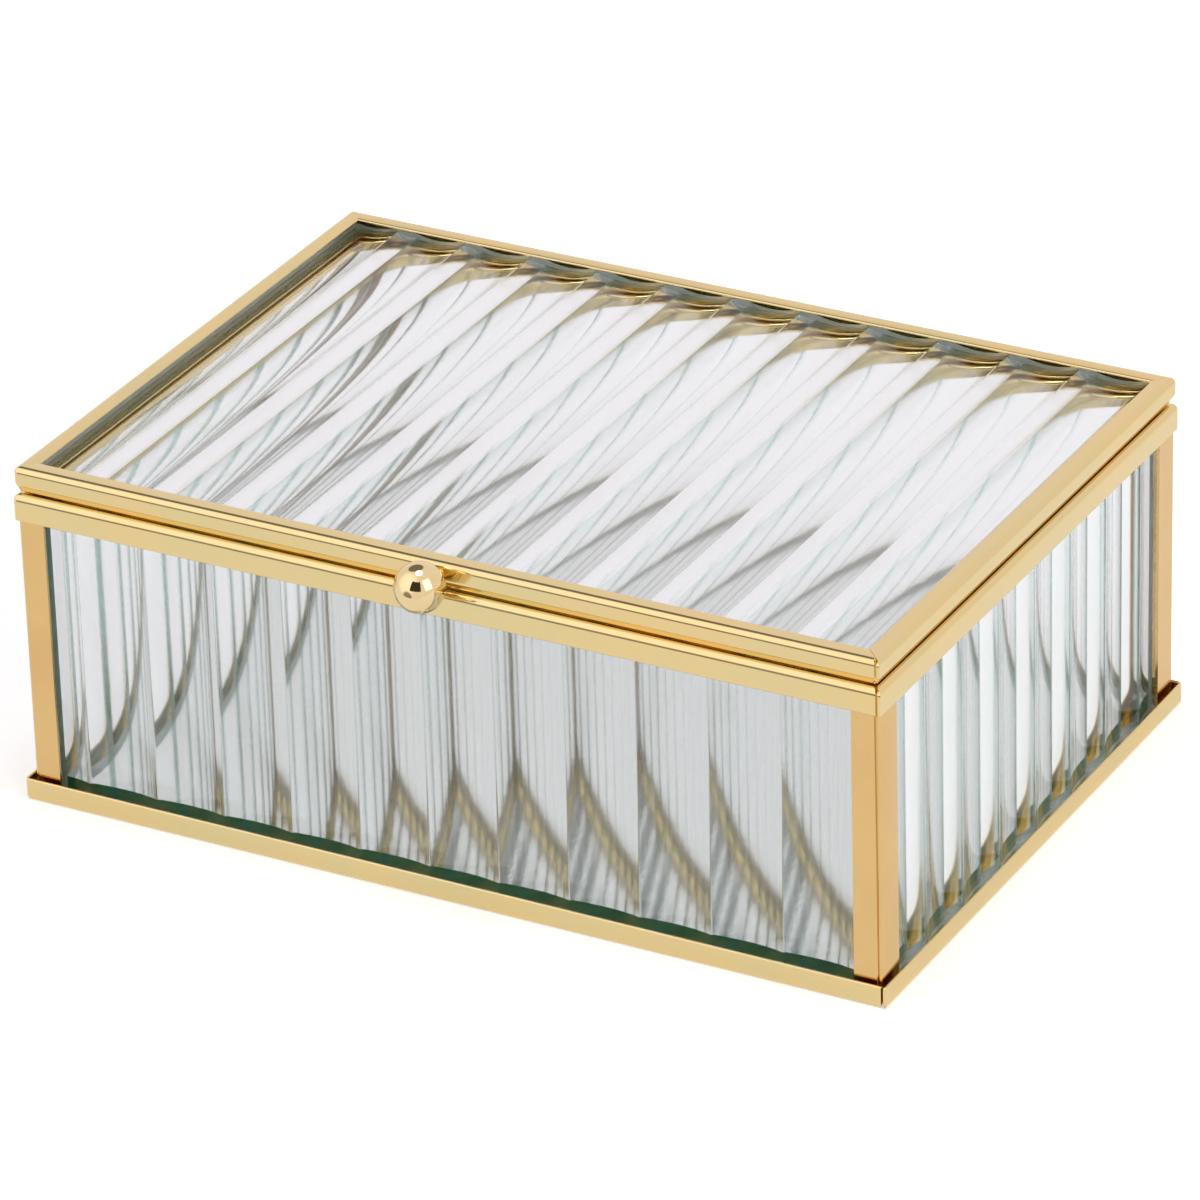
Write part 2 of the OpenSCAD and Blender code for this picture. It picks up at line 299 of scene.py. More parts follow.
BACK_PAINT, paint_tree, paint_shader = new_material("mirror_back_paint", {"Roughness": 0.6})
paint_place = add_node(paint_tree, "ShaderNodeTexCoord")
paint_grain = add_node(paint_tree, "ShaderNodeTexNoise", {"Scale": 1 / (PAINT_GRAIN_MM * MM), "Detail": 4.0},
                       {"Vector": paint_place.outputs["Object"]})
paint_tone = add_node(paint_tree, "ShaderNodeMix",
                      {"data_type": "RGBA", 6: colour("#6E7472"), 7: colour("#7D8380")},
                      {0: paint_grain.outputs["Fac"]})
paint_bump = add_node(paint_tree, "ShaderNodeBump", {"Strength": 0.4, "Distance": PAINT_RELIEF_MM * MM},
                      {"Height": paint_grain.outputs["Fac"]})
paint_tree.links.new(paint_tone.outputs[2], paint_shader.inputs["Base Color"])
paint_tree.links.new(paint_bump.outputs[0], paint_shader.inputs["Normal"])
print("mirror", SILVER.name, BACK_PAINT.name)

# %% [markdown]
# ## Making a piece
# Every piece is a mesh written point by point in millimetres. This function turns the points
# into an object, shades it smooth except along real edges, lets it ride on its body, and hides
# the frame node it stands for. The UV map follows the strip or the flutes, for the fine lines.

# %% One function for every piece
SHARP_EDGE = math.radians(40)
WELD = 1e-7
SLIVER = 1e-8


def make_piece(name, points, faces, materials, body, slot, stands_for, uvs=None, face_slots=None):
    """A mesh object from points in millimetres, riding on a body of the frame."""
    mesh = bpy.data.meshes.new(name)
    mesh.from_pydata([Vector(point) * MM for point in points], [], faces)
    for material in materials:
        mesh.materials.append(material)
    if face_slots:
        mesh.polygons.foreach_set("material_index", face_slots)
    layer = mesh.uv_layers.new(name="strip")
    for loop in mesh.loops:
        x, y, z = points[loop.vertex_index]
        u, v = uvs[loop.vertex_index] if uvs else (x, z)
        layer.data[loop.index].uv = (u * MM, v * MM)
    work = bmesh.new()
    work.from_mesh(mesh)
    bmesh.ops.remove_doubles(work, verts=work.verts, dist=WELD)
    bmesh.ops.dissolve_degenerate(work, edges=work.edges, dist=SLIVER)
    bmesh.ops.recalc_face_normals(work, faces=work.faces)
    work.to_mesh(mesh)
    work.free()
    mesh.shade_smooth()
    mesh.set_sharp_from_angle(angle=SHARP_EDGE)
    piece = bpy.data.objects.new(name, mesh)
    bpy.context.scene.collection.objects.link(piece)
    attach(piece, body)
    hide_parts(stands_for)
    return piece


# %% [markdown]
# ## Folded strip
# A brass strip is one sheet folded twice: its section is bent first, then the whole strip is
# folded round the box, with its lips notched to a mitre at each corner. The section is a line
# of points on the outside of the sheet, with an arc at each bend, and a second line one
# thickness further in. The two lines close in a half circle, because the sheet's edges are
# rolled round. `LEAD` is a short straight stretch at each end of an arc, which keeps the
# smooth shading of the flat faces flat.

# %% Sections
EDGE_STEPS = 4
EDGE_FLAT = 0.02
LEAD = 0.05
SHARPEST = 0.5


def bend_points(corner, before, after, radius, steps=6):
    """Points of an arc that rounds the corner between two straight stretches of a line."""
    corner = Vector(corner)
    a = (Vector(before) - corner).normalized()
    b = (Vector(after) - corner).normalized()
    half = a.angle(b) / 2
    reach = radius / math.tan(half)
    centre = corner + (a + b).normalized() * radius / math.sin(half)
    start = corner + a * reach - centre
    end = corner + b * reach - centre
    first = math.atan2(start.y, start.x)
    turn = (math.atan2(end.y, end.x) - first + math.pi) % (2 * math.pi) - math.pi
    arc = [first + turn * i / steps for i in range(steps + 1)]
    points = [corner + a * (reach + LEAD)]
    points += [centre + Vector((math.cos(t), math.sin(t))) * radius for t in arc]
    return points + [corner + b * (reach + LEAD)]


def section_pairs(line):
    """Outside and inside points of a bent sheet with round edges, the inside to the line's left."""
    line = [Vector(point) for point in line]
    radius = SHEET / 2
    from_edge = [radius * (1 - math.cos(math.pi / 2 * i / EDGE_STEPS)) for i in range(EDGE_STEPS + 1)]
    start, end = line[0], line[-1]
    inward, backward = (line[1] - start).normalized(), (line[-2] - end).normalized()
    first = [start + inward * x for x in from_edge]
    final = [end + backward * x for x in from_edge[::-1]]
    line = first + line[1:-1] + final
    pairs = []
    for i, point in enumerate(line):
        before = (point - line[i - 1]).normalized() if i else inward
        after = (line[i + 1] - point).normalized() if i + 1 < len(line) else before
        middle = (before + after).normalized()
        across = Vector((-middle.y, middle.x)) / max(middle.dot(after), SHARPEST)
        to_edge = min(radius, from_edge[min(i, len(line) - 1 - i, EDGE_STEPS)])
        trim = radius - math.sqrt(radius ** 2 - (radius - to_edge) ** 2)
        trim = min(trim, radius - EDGE_FLAT)
        pairs.append((point + across * trim, point + across * (SHEET - trim)))
    return pairs


# %% [markdown]
# A folded strip runs from the open seam at the front right corner, round the other three
# corners, and back to the seam. There the side's wall runs on to the front face, so the end of
# the sheet shows beside the seam. Lines further in than the fold's radius meet at a mitre.

# %% Strip folded round a rectangle
CORNER_STEPS = 6
MITRE_GAP = 0.12
MITRED_FROM = 1.0


def round_the_box(half_x, half_y, inset, inset_out, inset_in):
    """Plan points of one line of the section, all the way round the box."""
    radius = max(FOLD - inset, 0)
    gap = SEAM if inset < MITRED_FROM else MITRE_GAP
    points = [(half_x - inset_in - gap, -half_y + inset)]
    for sx, sy, first in ((-1, -1, 270), (-1, 1, 180), (1, 1, 90)):
        centre = Vector((sx * (half_x - inset - radius), sy * (half_y - inset - radius)))
        arc = [math.radians(first - 90 * i / CORNER_STEPS) for i in range(CORNER_STEPS + 1)]
        corner = [centre + Vector((math.cos(t), math.sin(t))) * radius for t in arc]
        came = Vector((math.sin(arc[0]), -math.cos(arc[0])))
        goes = Vector((math.sin(arc[-1]), -math.cos(arc[-1])))
        points += [corner[0] - came * LEAD] + corner + [corner[-1] + goes * LEAD]
    points.append((half_x - inset, -half_y + inset_out))
    return [Vector(point) for point in points]


def box_shell(low, high):
    """The corners and faces of a box: bottom, top, then the four sides."""
    corners = [(x, y, z) for z in (low.z, high.z) for y in (low.y, high.y) for x in (low.x, high.x)]
    return corners, [(0, 2, 3, 1), (4, 5, 7, 6), (0, 1, 5, 4), (1, 3, 7, 5), (3, 2, 6, 7), (2, 0, 4, 6)]


def folded_strip(name, line, half_x, half_y, low_z, body, stands_for, tab=None):
    """A strip with this section, folded round the box. The line holds (inset, height) points."""
    points, uvs, rows = [], [], []
    travel = 0
    girth = 0
    last = None
    for outer, inner in section_pairs(line):
        travel += (outer - last).length if last else 0
        last = outer
        for inset, height in (outer, inner):
            plan = round_the_box(half_x, half_y, inset, outer.x, inner.x)
            along = [0.0]
            for a, b in zip(plan, plan[1:]):
                along.append(along[-1] + (b - a).length)
            girth = max(girth, along[-1])
            rows.append(range(len(points), len(points) + len(plan)))
            points += [(x, y, low_z + height) for x, y in plan]
            uvs += [(u, travel) for u in along]
    faces = []
    stations = len(rows[0])
    for i in range(0, len(rows) - 2, 2):
        for j in range(stations - 1):
            for a, b in ((rows[i], rows[i + 2]), (rows[i + 1], rows[i + 3])):
                faces.append((a[j], a[j + 1], b[j + 1], b[j]))
        for j in (0, stations - 1):
            faces.append((rows[i][j], rows[i + 1][j], rows[i + 3][j], rows[i + 2][j]))
    for i in (0, len(rows) - 2):
        for j in range(stations - 1):
            faces.append((rows[i][j], rows[i][j + 1], rows[i + 1][j + 1], rows[i + 1][j]))
    if tab:
        tab_points, tab_faces = box_shell(*tab)
        faces += [tuple(i + len(points) for i in face) for face in tab_faces]
        points += tab_points
        uvs += [(x, z) for x, y, z in tab_points]
    piece = make_piece(name, points, faces, [BRASS], body, "polished_brass", stands_for, uvs=uvs)
    print(name, len(piece.data.polygons), "faces,", round(girth), "by", round(travel, 1), "mm of sheet")


# %% [markdown]
# ## Foot strip
# An L section: the wall stands on the table, and the flange under it carries the mirror.

# %% Foot
foot_h = FOOT_HIGH.z - FOOT_LOW.z
foot_line = [(0, foot_h), *bend_points((0, 0), (0, foot_h), (FOOT_FLANGE, 0), BEND), (FOOT_FLANGE, 0)]
folded_strip("foot_strip", foot_line, FOOT_HIGH.x, FOOT_HIGH.y, FOOT_LOW.z, "box", "foot_frame")

# %% [markdown]
# ## Rim strip
# A U section turned over: the outer wall shows, the top covers the edges of the panes, and the
# inner lip hangs behind them.

# %% Rim
rim_h = RIM_HIGH.z - RIM_LOW.z
rim_line = [(RIM_DEPTH, rim_h - SHEET - RIM_LIP),
            *bend_points((RIM_DEPTH, rim_h), (RIM_DEPTH, 0), (0, rim_h), BEND),
            *bend_points((0, rim_h), (RIM_DEPTH, rim_h), (0, 0), RIM_BEND),
            (0, 0)]
folded_strip("rim_strip", rim_line, RIM_HIGH.x, RIM_HIGH.y, RIM_LOW.z, "box", "rim_frame")

# %% [markdown]
# ## Lid strip
# A channel that holds the lid glass by its edge. Its face rolls over into the top lip, and turns
# under at the bottom. There it mirrors the rim below, and brass seen in brass is deep yellow.
# A small tab behind the seam keeps the glass from showing through it.

# %% Lid strip
TOP_ROLL = 1.05
FACE_END = 1.6
TURN_UNDER = 0.89
FACE_BEND = 1.0
UNDER_BEND = 0.3
TAB_REACH = 2.2
TAB_AIR = 0.02
TAB_LOW = 0.8
TAB_INSET = 0.05
lid_h = LID_HIGH.z - LID_LOW.z
lid_line = [(LID_TOP_LIP, lid_h),
            *bend_points((0, lid_h), (LID_TOP_LIP, lid_h), (0, 0), TOP_ROLL, steps=10),
            *bend_points((0, FACE_END), (0, lid_h), (TURN_UNDER, 0), FACE_BEND),
            *bend_points((TURN_UNDER, 0), (0, FACE_END), (LID_BOTTOM_LIP, 0), UNDER_BEND),
            (LID_BOTTOM_LIP, 0)]
tab_low = Vector((LID_HIGH.x - TAB_REACH, LID_LOW.y + SHEET + TAB_AIR, LID_LOW.z + TAB_LOW))
tab_high = Vector((LID_HIGH.x - SHEET - TAB_AIR, LID_GLASS_LOW.y - TAB_INSET,
                   LID_HIGH.z - SHEET - TAB_INSET))
folded_strip("lid_strip", lid_line, LID_HIGH.x, LID_HIGH.y, LID_LOW.z, "lid", "lid_frame",
             (tab_low, tab_high))

# %% [markdown]
# ## Corner posts
# Each post is an angle folded from sheet as thick as the strips'. The fold leaves a narrow
# rounded edge that catches one bright and one dark line. Beside the edge of the front right
# post runs a narrow groove that widens upwards, as the photograph shows.

# %% Posts
POST_FOLD = 0.9
POST_SEAM_LOW = 0.22
POST_SEAM_HIGH = 0.5
POST_SEAM_DEPTH = 0.42
SEAM_CUT = 0.1
SHEET_CUT = 0.08
FOLD_CUT = 0.18
FOLD_MIDDLE = 0.05


def post_outline(width, depth, seam):
    """The closed outline of an angle with its outer corner at the origin."""
    outer = [(width, 0), *bend_points((0, 0), (width, 0), (0, depth), POST_FOLD, steps=8), (0, depth)]
    if seam:
        ends = SHEET + seam
        outer = [(width, 0), (ends + SEAM_CUT, 0), (ends, SEAM_CUT), (ends, POST_SEAM_DEPTH),
                 (SHEET, POST_SEAM_DEPTH), (SHEET, SEAM_CUT), (SHEET - SHEET_CUT, 0),
                 (FOLD_CUT, 0), (FOLD_MIDDLE, FOLD_MIDDLE), (0, FOLD_CUT), (0, depth)]
    inner_r = POST_FOLD - SHEET
    inner = [(SHEET, depth),
             *bend_points((SHEET, SHEET), (SHEET, depth), (width, SHEET), inner_r, steps=4)]
    return outer + [tuple(point) for point in inner] + [(width, SHEET)]


def corner_post(name, sx, sy, node, seam_low=0, seam_high=0):
    """A folded angle that stands at one corner of the box."""
    low, high = box_mm(node)
    width, depth = high.x - low.x, high.y - low.y
    corner_x = high.x if sx > 0 else low.x
    corner_y = high.y if sy > 0 else low.y
    points, uvs = [], []
    for z, seam in ((low.z, seam_low), (high.z, seam_high)):
        outline = post_outline(width, depth, seam)
        points += [(corner_x - sx * a, corner_y - sy * b, z) for a, b in outline]
        uvs += [(z, a - b) for a, b in outline]
    count = len(outline)
    faces = [(i, (i + 1) % count, (i + 1) % count + count, i + count) for i in range(count)]
    faces += [tuple(range(count)), tuple(range(count, 2 * count))]
    make_piece(name, points, faces, [POST_BRASS_PAINTED_SHADE], "box", "polished_brass", node, uvs=uvs)


for side, sx in (("left", -1), ("right", 1)):
    for face, sy in (("front", -1), ("back", 1)):
        seam = (POST_SEAM_LOW, POST_SEAM_HIGH) if sx > 0 > sy else (0, 0)
        corner_post(f"corner_post_{face}_{side}", sx, sy, f"post_{face}_{side}", *seam)
print("posts", round(POST_HIGH.z - POST_LOW.z, 1), "mm tall")

# %% [markdown]
# ## Fluted panes
# A flute is an arc hollow towards the outside. Two flutes meet in a ridge, which cooling glass
# rounds off a little, so a small arc joins the large ones. With the ridge's radius known, the
# slope where the two arcs meet follows from the flute's depth and spacing. `AIR` keeps the
# panes off the brass above and below them, and the side panes off what meets their ends,
# because glass that shares a plane with another piece renders black.

# %% Flutes
FLUTE_DEPTH = 1.4
RIDGE_ROUND = 0.45
FLUTE_STEPS = 44
RIDGE_STEPS = 6
MOST_FLUTES = 12
AIR = 0.04


def flute_depth_at(u, pitch, ridge):
    """How deep the outer face lies below the ridges, at a place across the flutes."""
    slope = 2 * math.atan(2 * FLUTE_DEPTH / pitch)
    hollow = pitch / (2 * math.sin(slope)) - RIDGE_ROUND
    from_middle = abs((u - ridge) % pitch - pitch / 2)
    from_ridge = pitch / 2 - from_middle
    if from_ridge < RIDGE_ROUND * math.sin(slope):
        return RIDGE_ROUND - math.sqrt(RIDGE_ROUND ** 2 - from_ridge ** 2)
    return FLUTE_DEPTH - hollow + math.sqrt(hollow ** 2 - from_middle ** 2)


def across_flutes(half, pitch, ridge):
    """Places across a pane: fine on the ridges, even in the hollows."""
    places = {-half, half}
    for k in range(-MOST_FLUTES, MOST_FLUTES + 1):
        start = ridge + k * pitch
        places |= {start + pitch * i / FLUTE_STEPS for i in range(FLUTE_STEPS)}
        places |= {start + RIDGE_ROUND * 0.5 * i / RIDGE_STEPS for i in range(-RIDGE_STEPS, RIDGE_STEPS + 1)}
    return sorted(u for u in places if abs(u) <= half)


def fluted_pane(name, node, body, half, thickness, pitch, ridge, low, high, place):
    """A plate with flutes on its outer face. place turns (across, depth, along) into a point."""
    across = across_flutes(half, pitch, ridge)
    count = len(across)
    points = [place(u, flute_depth_at(u, pitch, ridge), w) for w in (low, high) for u in across]
    points += [place(u, thickness, w) for w in (low, high) for u in (-half, half)]
    uvs = [(u, w) for w in (low, high) for u in across]
    uvs += [(u, w) for w in (low, high) for u in (-half, half)]
    base = 2 * count
    faces = [(i, i + 1, count + i + 1, count + i) for i in range(count - 1)]
    faces.append((base, base + 1, base + 3, base + 2))
    cut_edges = [(0, count, base + 2, base), (count - 1, base + 1, base + 3, 2 * count - 1),
                 (*range(count), base + 1, base), (*range(count, 2 * count), base + 3, base + 2)]
    slots = [0] * len(faces) + [1] * len(cut_edges)
    make_piece(name, points, faces + cut_edges, [FLUTED_GLASS, GROUND_EDGE], body, "fluted_glass", node,
               uvs=uvs, face_slots=slots)
    print(name, round(2 * half, 1), "mm across,", pitch, "mm flutes")


# %% [markdown]
# The spacing of the ridges and the place of one of them are measured from the photograph, for
# the front, the right side and the lid. The back and left panes are cut from the same glass.

# %% Panes
FRONT_PITCH, FRONT_RIDGE = 13.03, -3.5
SIDE_PITCH, SIDE_RIDGE = 13.7, 2.5
LID_PITCH, LID_RIDGE = 13.14, -2.5
for name, node, sign in (("glass_front", "pane_front", -1), ("glass_back", "pane_back", 1)):
    low, high = box_mm(node)
    face = low.y if sign < 0 else high.y
    bottom, top = low.z + AIR, high.z - AIR
    fluted_pane(name, node, "box", high.x, high.y - low.y, FRONT_PITCH, FRONT_RIDGE, bottom, top,
                lambda u, d, w, face=face, sign=sign: (u, face - sign * d, w))
for name, node, sign in (("glass_left", "pane_left", -1), ("glass_right", "pane_right", 1)):
    low, high = box_mm(node)
    face = low.x if sign < 0 else high.x
    bottom, top = low.z + AIR, high.z - AIR
    fluted_pane(name, node, "box", high.y - AIR, high.x - low.x, SIDE_PITCH, SIDE_RIDGE, bottom, top,
                lambda u, d, w, face=face, sign=sign: (face - sign * d, u, w))
low, high = LID_GLASS_LOW, LID_GLASS_HIGH
fluted_pane("glass_lid", "lid_glass", "lid", high.x, high.z - low.z - AIR, LID_PITCH, LID_RIDGE,
            low.y, high.y, lambda u, d, w: (u, w, high.z - d))

# %% [markdown]
# ## Mirror floor
# One sheet of float glass, its underside silvered, with the paint as a thin skin beneath. Its
# cut edge is what shows as the dark green band above the foot strip.

# %% Mirror floor
PAINT = 0.06
PAINT_GAP = 0.03
glass_low = Vector((MIRROR_LOW.x, MIRROR_LOW.y, MIRROR_LOW.z + PAINT + PAINT_GAP))
paint_high = Vector((MIRROR_HIGH.x, MIRROR_HIGH.y, MIRROR_LOW.z + PAINT))
plate, plate_faces = box_shell(glass_low, MIRROR_HIGH)
skin, skin_faces = box_shell(MIRROR_LOW, paint_high)
skin_faces = [tuple(i + len(plate) for i in face) for face in skin_faces]
make_piece("mirror_floor", plate + skin, plate_faces + skin_faces,
           [SILVER, FLOAT_GLASS, FLOAT_EDGE, BACK_PAINT], "box", "mirror_floor", "base_mirror",
           face_slots=[0, 1, 2, 2, 2, 2] + [3] * 6)
print("mirror", [round(size, 1) for size in MIRROR_HIGH - MIRROR_LOW], "mm")

# %% [markdown]
# ## Ball knob
# The knob is turned from brass rod on a lathe and polished, then screwed through the lid strip.
# A lathe shape is one outline spun round an axis, so it is written as radius and length.

# %% Turned pieces
KNOB_LOW, KNOB_HIGH = box_mm("lid_knob")
NECK_R = 1.5
STEM_R = 1.0
STEM_CUT = 0.1
BALL_STEPS = 40


def turned(outline, at, axis, turns=64):
    """Points and faces of an outline of (radius, length) spun round an axis from a point."""
    axis = Vector(axis)
    side = axis.orthogonal().normalized()
    other = axis.cross(side)
    points, faces = [], []
    for radius, length in outline:
        for i in range(turns):
            t = 2 * math.pi * i / turns
            points.append(Vector(at) + axis * length + (side * math.cos(t) + other * math.sin(t)) * radius)
    for r in range(len(outline) - 1):
        for i in range(turns):
            j = (i + 1) % turns
            faces.append((r * turns + i, r * turns + j, (r + 1) * turns + j, (r + 1) * turns + i))
    return points, faces


knob_r = (KNOB_HIGH.z - KNOB_LOW.z) / 2
knob_z = (LID_LOW.z + LID_HIGH.z) / 2
ball_at = (LID_LOW.y - KNOB_LOW.y) - knob_r
stem_l = KNOB_HIGH.y - LID_LOW.y
ball_turn = math.pi - math.asin(NECK_R / knob_r)
ball = [ball_turn - ball_turn * i / BALL_STEPS for i in range(BALL_STEPS + 1)]
knob_outline = [(0, -stem_l), (STEM_R - STEM_CUT, -stem_l), (STEM_R, -stem_l + STEM_CUT), (STEM_R, 0),
                (NECK_R, 0)]
knob_outline += [(knob_r * math.sin(t), ball_at + knob_r * math.cos(t)) for t in ball]
knob_points, knob_faces = turned(knob_outline, (0, LID_LOW.y, knob_z), (0, -1, 0))
make_piece("ball_knob", knob_points, knob_faces, [KNOB_BRASS], "lid", "polished_brass", "lid_knob")
print("knob", round(2 * knob_r, 1), "mm ball")

# %% [markdown]
# ## Hinges
# Two small butt hinges hold the lid at the back. Each leaf is a stamped plate soldered to its
# strip, with its edge rolled into knuckles round the pin. Stamping and tumbling round off every
# edge of the plates, and a bevel does the same here. A knuckle is a bored barrel, spun as the
# ball was. The shells of one leaf are one piece.

# %% Plates and knuckles
PIN_LOW, PIN_HIGH = box_mm("hinge_pin_right")
HINGE_Y = (PIN_LOW.y + PIN_HIGH.y) / 2
HINGE_Z = (PIN_LOW.z + PIN_HIGH.z) / 2
PIN_R = (PIN_HIGH.z - PIN_LOW.z) / 2
PIN_PLAY = 0.05
BORE_R = PIN_R + PIN_PLAY
KNUCKLE_W = 4.0
KNUCKLE_R = 1.3
EDGE_CUT = 0.12


def soft_box(low, high):
    """Points and faces of a box whose edges are all rounded a little."""
    work = bmesh.new()
    points, faces = box_shell(Vector(low), Vector(high))
    corners = [work.verts.new(p) for p in points]
    for face in faces:
        work.faces.new([corners[i] for i in face])
    bmesh.ops.recalc_face_normals(work, faces=work.faces)
    bmesh.ops.bevel(work, geom=work.edges, offset=EDGE_CUT, segments=2, profile=0.5, affect="EDGES")
    work.verts.index_update()
    made = [v.co.copy() for v in work.verts], [tuple(v.index for v in f.verts) for f in work.faces]
    work.free()
    return made


def barrel(x, width):
    """Points and faces of one knuckle along X, bored for the pin."""
    outline = [(BORE_R, 0), (KNUCKLE_R - EDGE_CUT, 0), (KNUCKLE_R, EDGE_CUT), (KNUCKLE_R, width - EDGE_CUT),
               (KNUCKLE_R - EDGE_CUT, width), (BORE_R, width), (BORE_R, 0)]
    return turned(outline, (x, HINGE_Y, HINGE_Z), (1, 0, 0), turns=40)


def together(*shells):
    """One list of points and one of faces from several shells."""
    points, faces = [], []
    for shell_points, shell_faces in shells:
        faces += [tuple(i + len(points) for i in face) for face in shell_faces]
        points += [Vector(point) for point in shell_points]
    return points, faces


# %% [markdown]
# The body leaf is soldered to the back of the rim. At each end a tongue of it reaches up beside
# the end knuckle, and a short arm joins the two under the pin.

# %% Body leaf
KNUCKLE_GAP = 0.1
LEAF_GAP = 0.15
TONGUE_LAP = 0.5
ARM_END = 0.3


def body_leaf(side):
    """The leaf on the rim, with the two end knuckles."""
    low, high = box_mm(f"hinge_body_leaf_{side}")
    end_w = (high.x - low.x - KNUCKLE_W) / 2 - KNUCKLE_GAP
    plate_back = low.y + SHEET
    plate_top = HINGE_Z - KNUCKLE_R - LEAF_GAP
    shells = [soft_box(low, (high.x, plate_back, plate_top))]
    for x in (low.x, high.x - end_w):
        arm = soft_box((x, low.y, HINGE_Z - KNUCKLE_R), (x + end_w, HINGE_Y - ARM_END, HINGE_Z - BORE_R))
        tongue = soft_box((x, low.y, plate_top - TONGUE_LAP), (x + end_w, plate_back, HINGE_Z))
        shells += [arm, tongue, barrel(x, end_w)]
    make_piece(f"body_leaf_{side}", *together(*shells), [BRASS], "box", "polished_brass",
               f"hinge_body_leaf_{side}")


# %% [markdown]
# The lid leaf is soldered to the back of the lid strip, and an arm joins it to the middle
# knuckle. Under that knuckle is a heel, which meets the body leaf when the lid is open. It is
# drawn as it stands then, and swung back to where it is with the lid shut.

# %% Lid leaf
OPEN_ANGLE = math.radians(105)
LEAF_RISE = 0.1
LID_ARM_H = 1.1
LID_ARM_GAP = 0.1
HEEL_FRONT = -1.08
HEEL_TOP = -0.7
HEEL_REACH = 0.75


def lid_leaf(side, middle):
    """The leaf on the lid strip, with the middle knuckle and its heel."""
    low, high = box_mm(f"hinge_lid_leaf_{side}")
    base = LID_LOW.z + LEAF_RISE
    left_end, right_end = middle - KNUCKLE_W / 2, middle + KNUCKLE_W / 2
    plate = soft_box((low.x, low.y, base), (high.x, low.y + SHEET, high.z))
    arm = soft_box((left_end, low.y, base), (right_end, HINGE_Y - BORE_R - LID_ARM_GAP, base + LID_ARM_H))
    heel, heel_faces = soft_box((left_end, HEEL_FRONT, -KNUCKLE_R - HEEL_REACH), (right_end, 0, HEEL_TOP))
    swing = Matrix.Rotation(OPEN_ANGLE, 3, "X")
    heel = [swing @ point + Vector((0, HINGE_Y, HINGE_Z)) for point in heel]
    shells = [plate, arm, barrel(left_end, KNUCKLE_W), (heel, heel_faces)]
    make_piece(f"lid_leaf_{side}", *together(*shells), [BRASS], "lid", "polished_brass",
               f"hinge_lid_leaf_{side}")


# %% [markdown]
# The pin is a drawn wire with domed ends. It runs through all three knuckles and stays with the
# body leaf.

# %% Pin, and both hinges
PIN_DOME = 0.25
DOME_STEPS = 6


def hinge_pin(side):
    """The pin of one hinge."""
    low, high = box_mm(f"hinge_pin_{side}")
    length = high.x - low.x
    dome = [math.pi / 2 * i / DOME_STEPS for i in range(DOME_STEPS + 1)]
    outline = [(PIN_R * math.sin(t), PIN_DOME - PIN_DOME * math.cos(t)) for t in dome]
    outline += [(PIN_R * math.cos(t), length - PIN_DOME + PIN_DOME * math.sin(t)) for t in dome]
    shell = turned(outline, (low.x, HINGE_Y, HINGE_Z), (1, 0, 0), turns=32)
    make_piece(f"pin_{side}", *shell, [KNOB_BRASS], "box", "polished_brass", f"hinge_pin_{side}")


for side in ("left", "right"):
    low, high = box_mm(f"hinge_body_leaf_{side}")
    middle = (low.x + high.x) / 2
    body_leaf(side)
    lid_leaf(side, middle)
    hinge_pin(side)
print("hinges at", round(middle, 1), "mm from the middle")

# %% [markdown]
# ## Studio
# The photograph was taken in a white studio: a white floor and backdrop, a soft light overhead,
# a tall one to the right, a window at the front left, and a dark room behind the camera. Polished
# brass looks like what it mirrors, so all of these are here, and each gives its own band.
# The white paper ends a little in front of the box. It takes the box's shadow, and glows a
# little for the rays that look at it, more so far off, where it meets the white backdrop.

# %% Floor
scene = bpy.context.scene
floor_material, floor_tree, floor_shader = new_material("white_paper_floor", {
    "Base Color": colour("#F4F4F4"), "Roughness": 0.9, "Specular IOR Level": 0.1})


def background_rays(tree):
    """1 for a ray of the camera, of a mirror or of clear glass, and 0 for all others."""
    ray = add_node(tree, "ShaderNodeLightPath")
    first = add_node(tree, "ShaderNodeMath", {"operation": "ADD"},
                     {0: ray.outputs["Is Camera Ray"], 1: ray.outputs["Is Glossy Ray"]})
    both = add_node(tree, "ShaderNodeMath", {"operation": "ADD", "use_clamp": True},
                    {0: first.outputs[0], 1: ray.outputs["Is Transmission Ray"]})
    return both.outputs[0]


FLOOR_GLOW = 0.46
MIRRORED_GLOW = 0.36
FAR_GLOW = 0.9
NEAR_BOX = 0.2
FAR_OFF = 1.0
FLOOR_FRONT = -0.2
FLOOR_SIZE = 3.0
mirror_ray = add_node(floor_tree, "ShaderNodeLightPath").outputs["Is Glossy Ray"]
floor_place = add_node(floor_tree, "ShaderNodeTexCoord")
from_box = add_node(floor_tree, "ShaderNodeVectorMath", {"operation": "LENGTH"},
                    {0: floor_place.outputs["Object"]})
rising = add_node(floor_tree, "ShaderNodeMapRange",
                  {"From Min": NEAR_BOX, "From Max": FAR_OFF, "To Min": FLOOR_GLOW, "To Max": FAR_GLOW},
                  {"Value": from_box.outputs["Value"]})
glow = add_node(floor_tree, "ShaderNodeMix", {"data_type": "FLOAT", 3: MIRRORED_GLOW},
                {0: mirror_ray, 2: rising.outputs[0]})
floor_glow = add_node(floor_tree, "ShaderNodeMath", {"operation": "MULTIPLY"},
                      {0: glow.outputs[0], 1: background_rays(floor_tree)})
floor_shader.inputs["Emission Color"].default_value = colour("#FFFFFF")
floor_tree.links.new(floor_glow.outputs[0], floor_shader.inputs["Emission Strength"])


def flat_panel(name, corners, faces, material):
    """A sheet of the studio, in metres."""
    mesh = bpy.data.meshes.new(name)
    mesh.from_pydata(corners, [], faces)
    mesh.materials.append(material)
    panel = bpy.data.objects.new(name, mesh)
    scene.collection.objects.link(panel)
    panel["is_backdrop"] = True
    return panel


